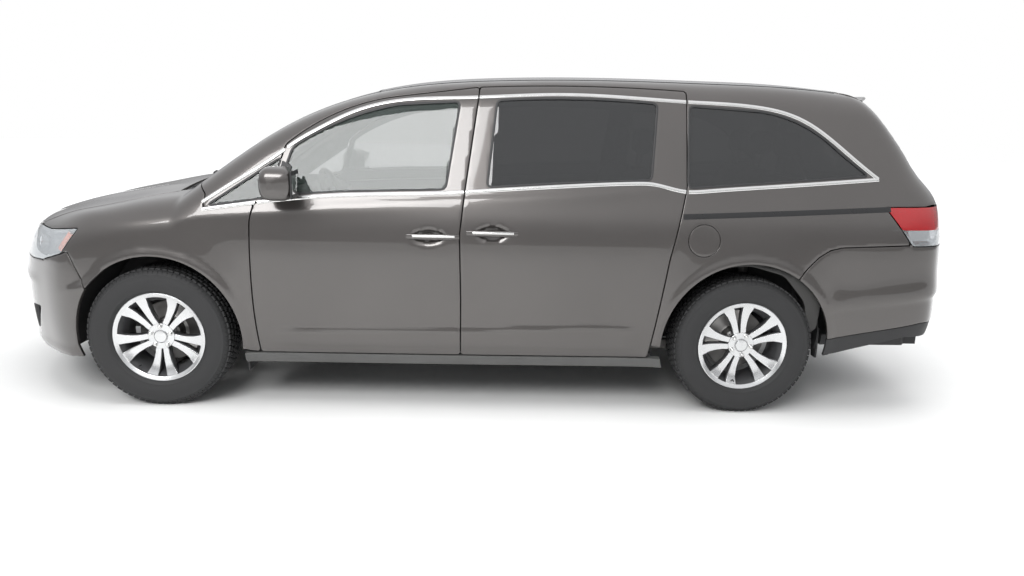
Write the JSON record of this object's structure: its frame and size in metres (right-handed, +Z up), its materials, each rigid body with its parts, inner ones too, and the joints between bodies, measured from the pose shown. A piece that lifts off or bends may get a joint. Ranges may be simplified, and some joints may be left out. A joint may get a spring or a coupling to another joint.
{
  "type": "minivan",
  "caption": "Long three-row minivan with hinged front doors, sliding side doors, hood, tailgate, steered front wheels and alloy rims.",
  "frame": {"origin": "on the ground under the middle of the vehicle's box", "axes": "+X forward, +Y to the left side, +Z up"},
  "size_m": [5.1563, 2.28, 1.7372],
  "materials": {
    "paint": "warm dark grey metallic clearcoat",
    "clear_glass": "light green tint",
    "privacy_glass": "dark privacy tint",
    "lamp_clear": "clear lens over bright reflector",
    "lamp_red": "red lens",
    "black_plastic": "grained",
    "bright_trim": "satin bright",
    "alloy": "machined and painted silver",
    "tyre": "black rubber",
    "underbody": "dark satin",
    "cast_metal": "cast",
    "exhaust_steel": "dull steel",
    "cabin_plastic": "fine grain",
    "seat_fabric": "woven grey"
  },
  "bodies": {
    "root": {"body_frame": "underbody", "body_side_left": "paint", "body_side_right": "paint", "sliding_door_left": "paint", "sliding_door_right": "paint", "sliding_door_glass": "privacy_glass", "quarter_glass": "privacy_glass", "fenders": "paint", "headlamps": "lamp_clear", "tail_lamps": "lamp_red", "wheel_liners": "black_plastic", "roof": "paint", "windshield": "clear_glass", "cowl": "black_plastic", "front_bumper": "paint", "grille": "bright_trim", "rear_bumper": "paint", "front_suspension": "underbody", "rear_axle": "underbody", "exhaust": "exhaust_steel", "dashboard": "cabin_plastic", "front_seats": "seat_fabric", "middle_seats": "seat_fabric", "third_row_seat": "seat_fabric", "engine_block": "cast_metal", "fuel_tank": "black_plastic"},
    "hood_lid": {"hood": "paint"},
    "tailgate_lid": {"tailgate": "paint", "tailgate_glass": "privacy_glass"},
    "door_left": {"front_door_left": "paint", "front_door_glass_left": "clear_glass", "mirror_left": "paint"},
    "door_right": {"front_door_right": "paint", "front_door_glass_right": "clear_glass", "mirror_right": "paint"},
    "fuel_lid": {"fuel_door": "paint"},
    "knuckle_l": {"knuckle_left": "cast_metal"},
    "knuckle_r": {"knuckle_right": "cast_metal"},
    "wheel_fl": {"tyre_front_left": "tyre", "rim_front_left": "alloy"},
    "wheel_fr": {"tyre_front_right": "tyre", "rim_front_right": "alloy"},
    "wheel_rl": {"tyre_rear_left": "tyre", "rim_rear_left": "alloy"},
    "wheel_rr": {"tyre_rear_right": "tyre", "rim_rear_right": "alloy"},
    "steering": {"steering_wheel": "cabin_plastic"}
  },
  "joints": [
    {"name": "hood_hinge", "type": "hinge", "parent": "root", "child": "hood_lid", "pos_m": [1.43, 0, 1.066], "axis": [0, -1, 0], "range_deg": [0, 50]},
    {"name": "tailgate_hinge", "type": "hinge", "parent": "root", "child": "tailgate_lid", "pos_m": [-1.938, 0, 1.685], "axis": [0, 1, 0], "range_deg": [0, 82]},
    {"name": "door_left_hinge", "type": "hinge", "parent": "root", "child": "door_left", "pos_m": [1.0015, 0.97, 0.7], "axis": [0, 0, -1], "range_deg": [0, 68]},
    {"name": "door_right_hinge", "type": "hinge", "parent": "root", "child": "door_right", "pos_m": [1.0015, -0.97, 0.7], "axis": [0, 0, 1], "range_deg": [0, 68]},
    {"name": "fuel_door_hinge", "type": "hinge", "parent": "root", "child": "fuel_lid", "pos_m": [-1.119, 0.9805, 0.917], "axis": [0, 0, -1], "range_deg": [0, 85]},
    {"name": "steer_left", "type": "hinge", "parent": "root", "child": "knuckle_l", "pos_m": [1.567, 0.8, 0.19], "axis": [0, -0.1868, 0.9824], "range_deg": [-33, 33]},
    {"name": "steer_right", "type": "hinge", "parent": "root", "child": "knuckle_r", "pos_m": [1.567, -0.8, 0.19], "axis": [0, 0.1868, 0.9824], "range_deg": [-33, 33]},
    {"name": "steering_wheel_turn", "type": "hinge", "parent": "root", "child": "steering", "pos_m": [0.767, 0.37, 1.01], "axis": [-0.9207, 0, 0.3903], "range_deg": [-495, 495]},
    {"name": "wheel_fl_spin", "type": "hinge", "parent": "knuckle_l", "child": "wheel_fl", "pos_m": [1.567, 0.865, 0.362], "axis": [0, 1, 0], "continuous": true},
    {"name": "wheel_fr_spin", "type": "hinge", "parent": "knuckle_r", "child": "wheel_fr", "pos_m": [1.567, -0.865, 0.362], "axis": [0, 1, 0], "continuous": true},
    {"name": "wheel_rl_spin", "type": "hinge", "parent": "root", "child": "wheel_rl", "pos_m": [-1.433, 0.8675, 0.362], "axis": [0, 1, 0], "continuous": true},
    {"name": "wheel_rr_spin", "type": "hinge", "parent": "root", "child": "wheel_rr", "pos_m": [-1.433, -0.8675, 0.362], "axis": [0, 1, 0], "continuous": true}
  ],
  "couplings": [
    {"joint": "steer_right", "follows": "steer_left", "ratio": 1},
    {"joint": "steering_wheel_turn", "follows": "steer_left", "ratio": 15}
  ]
}
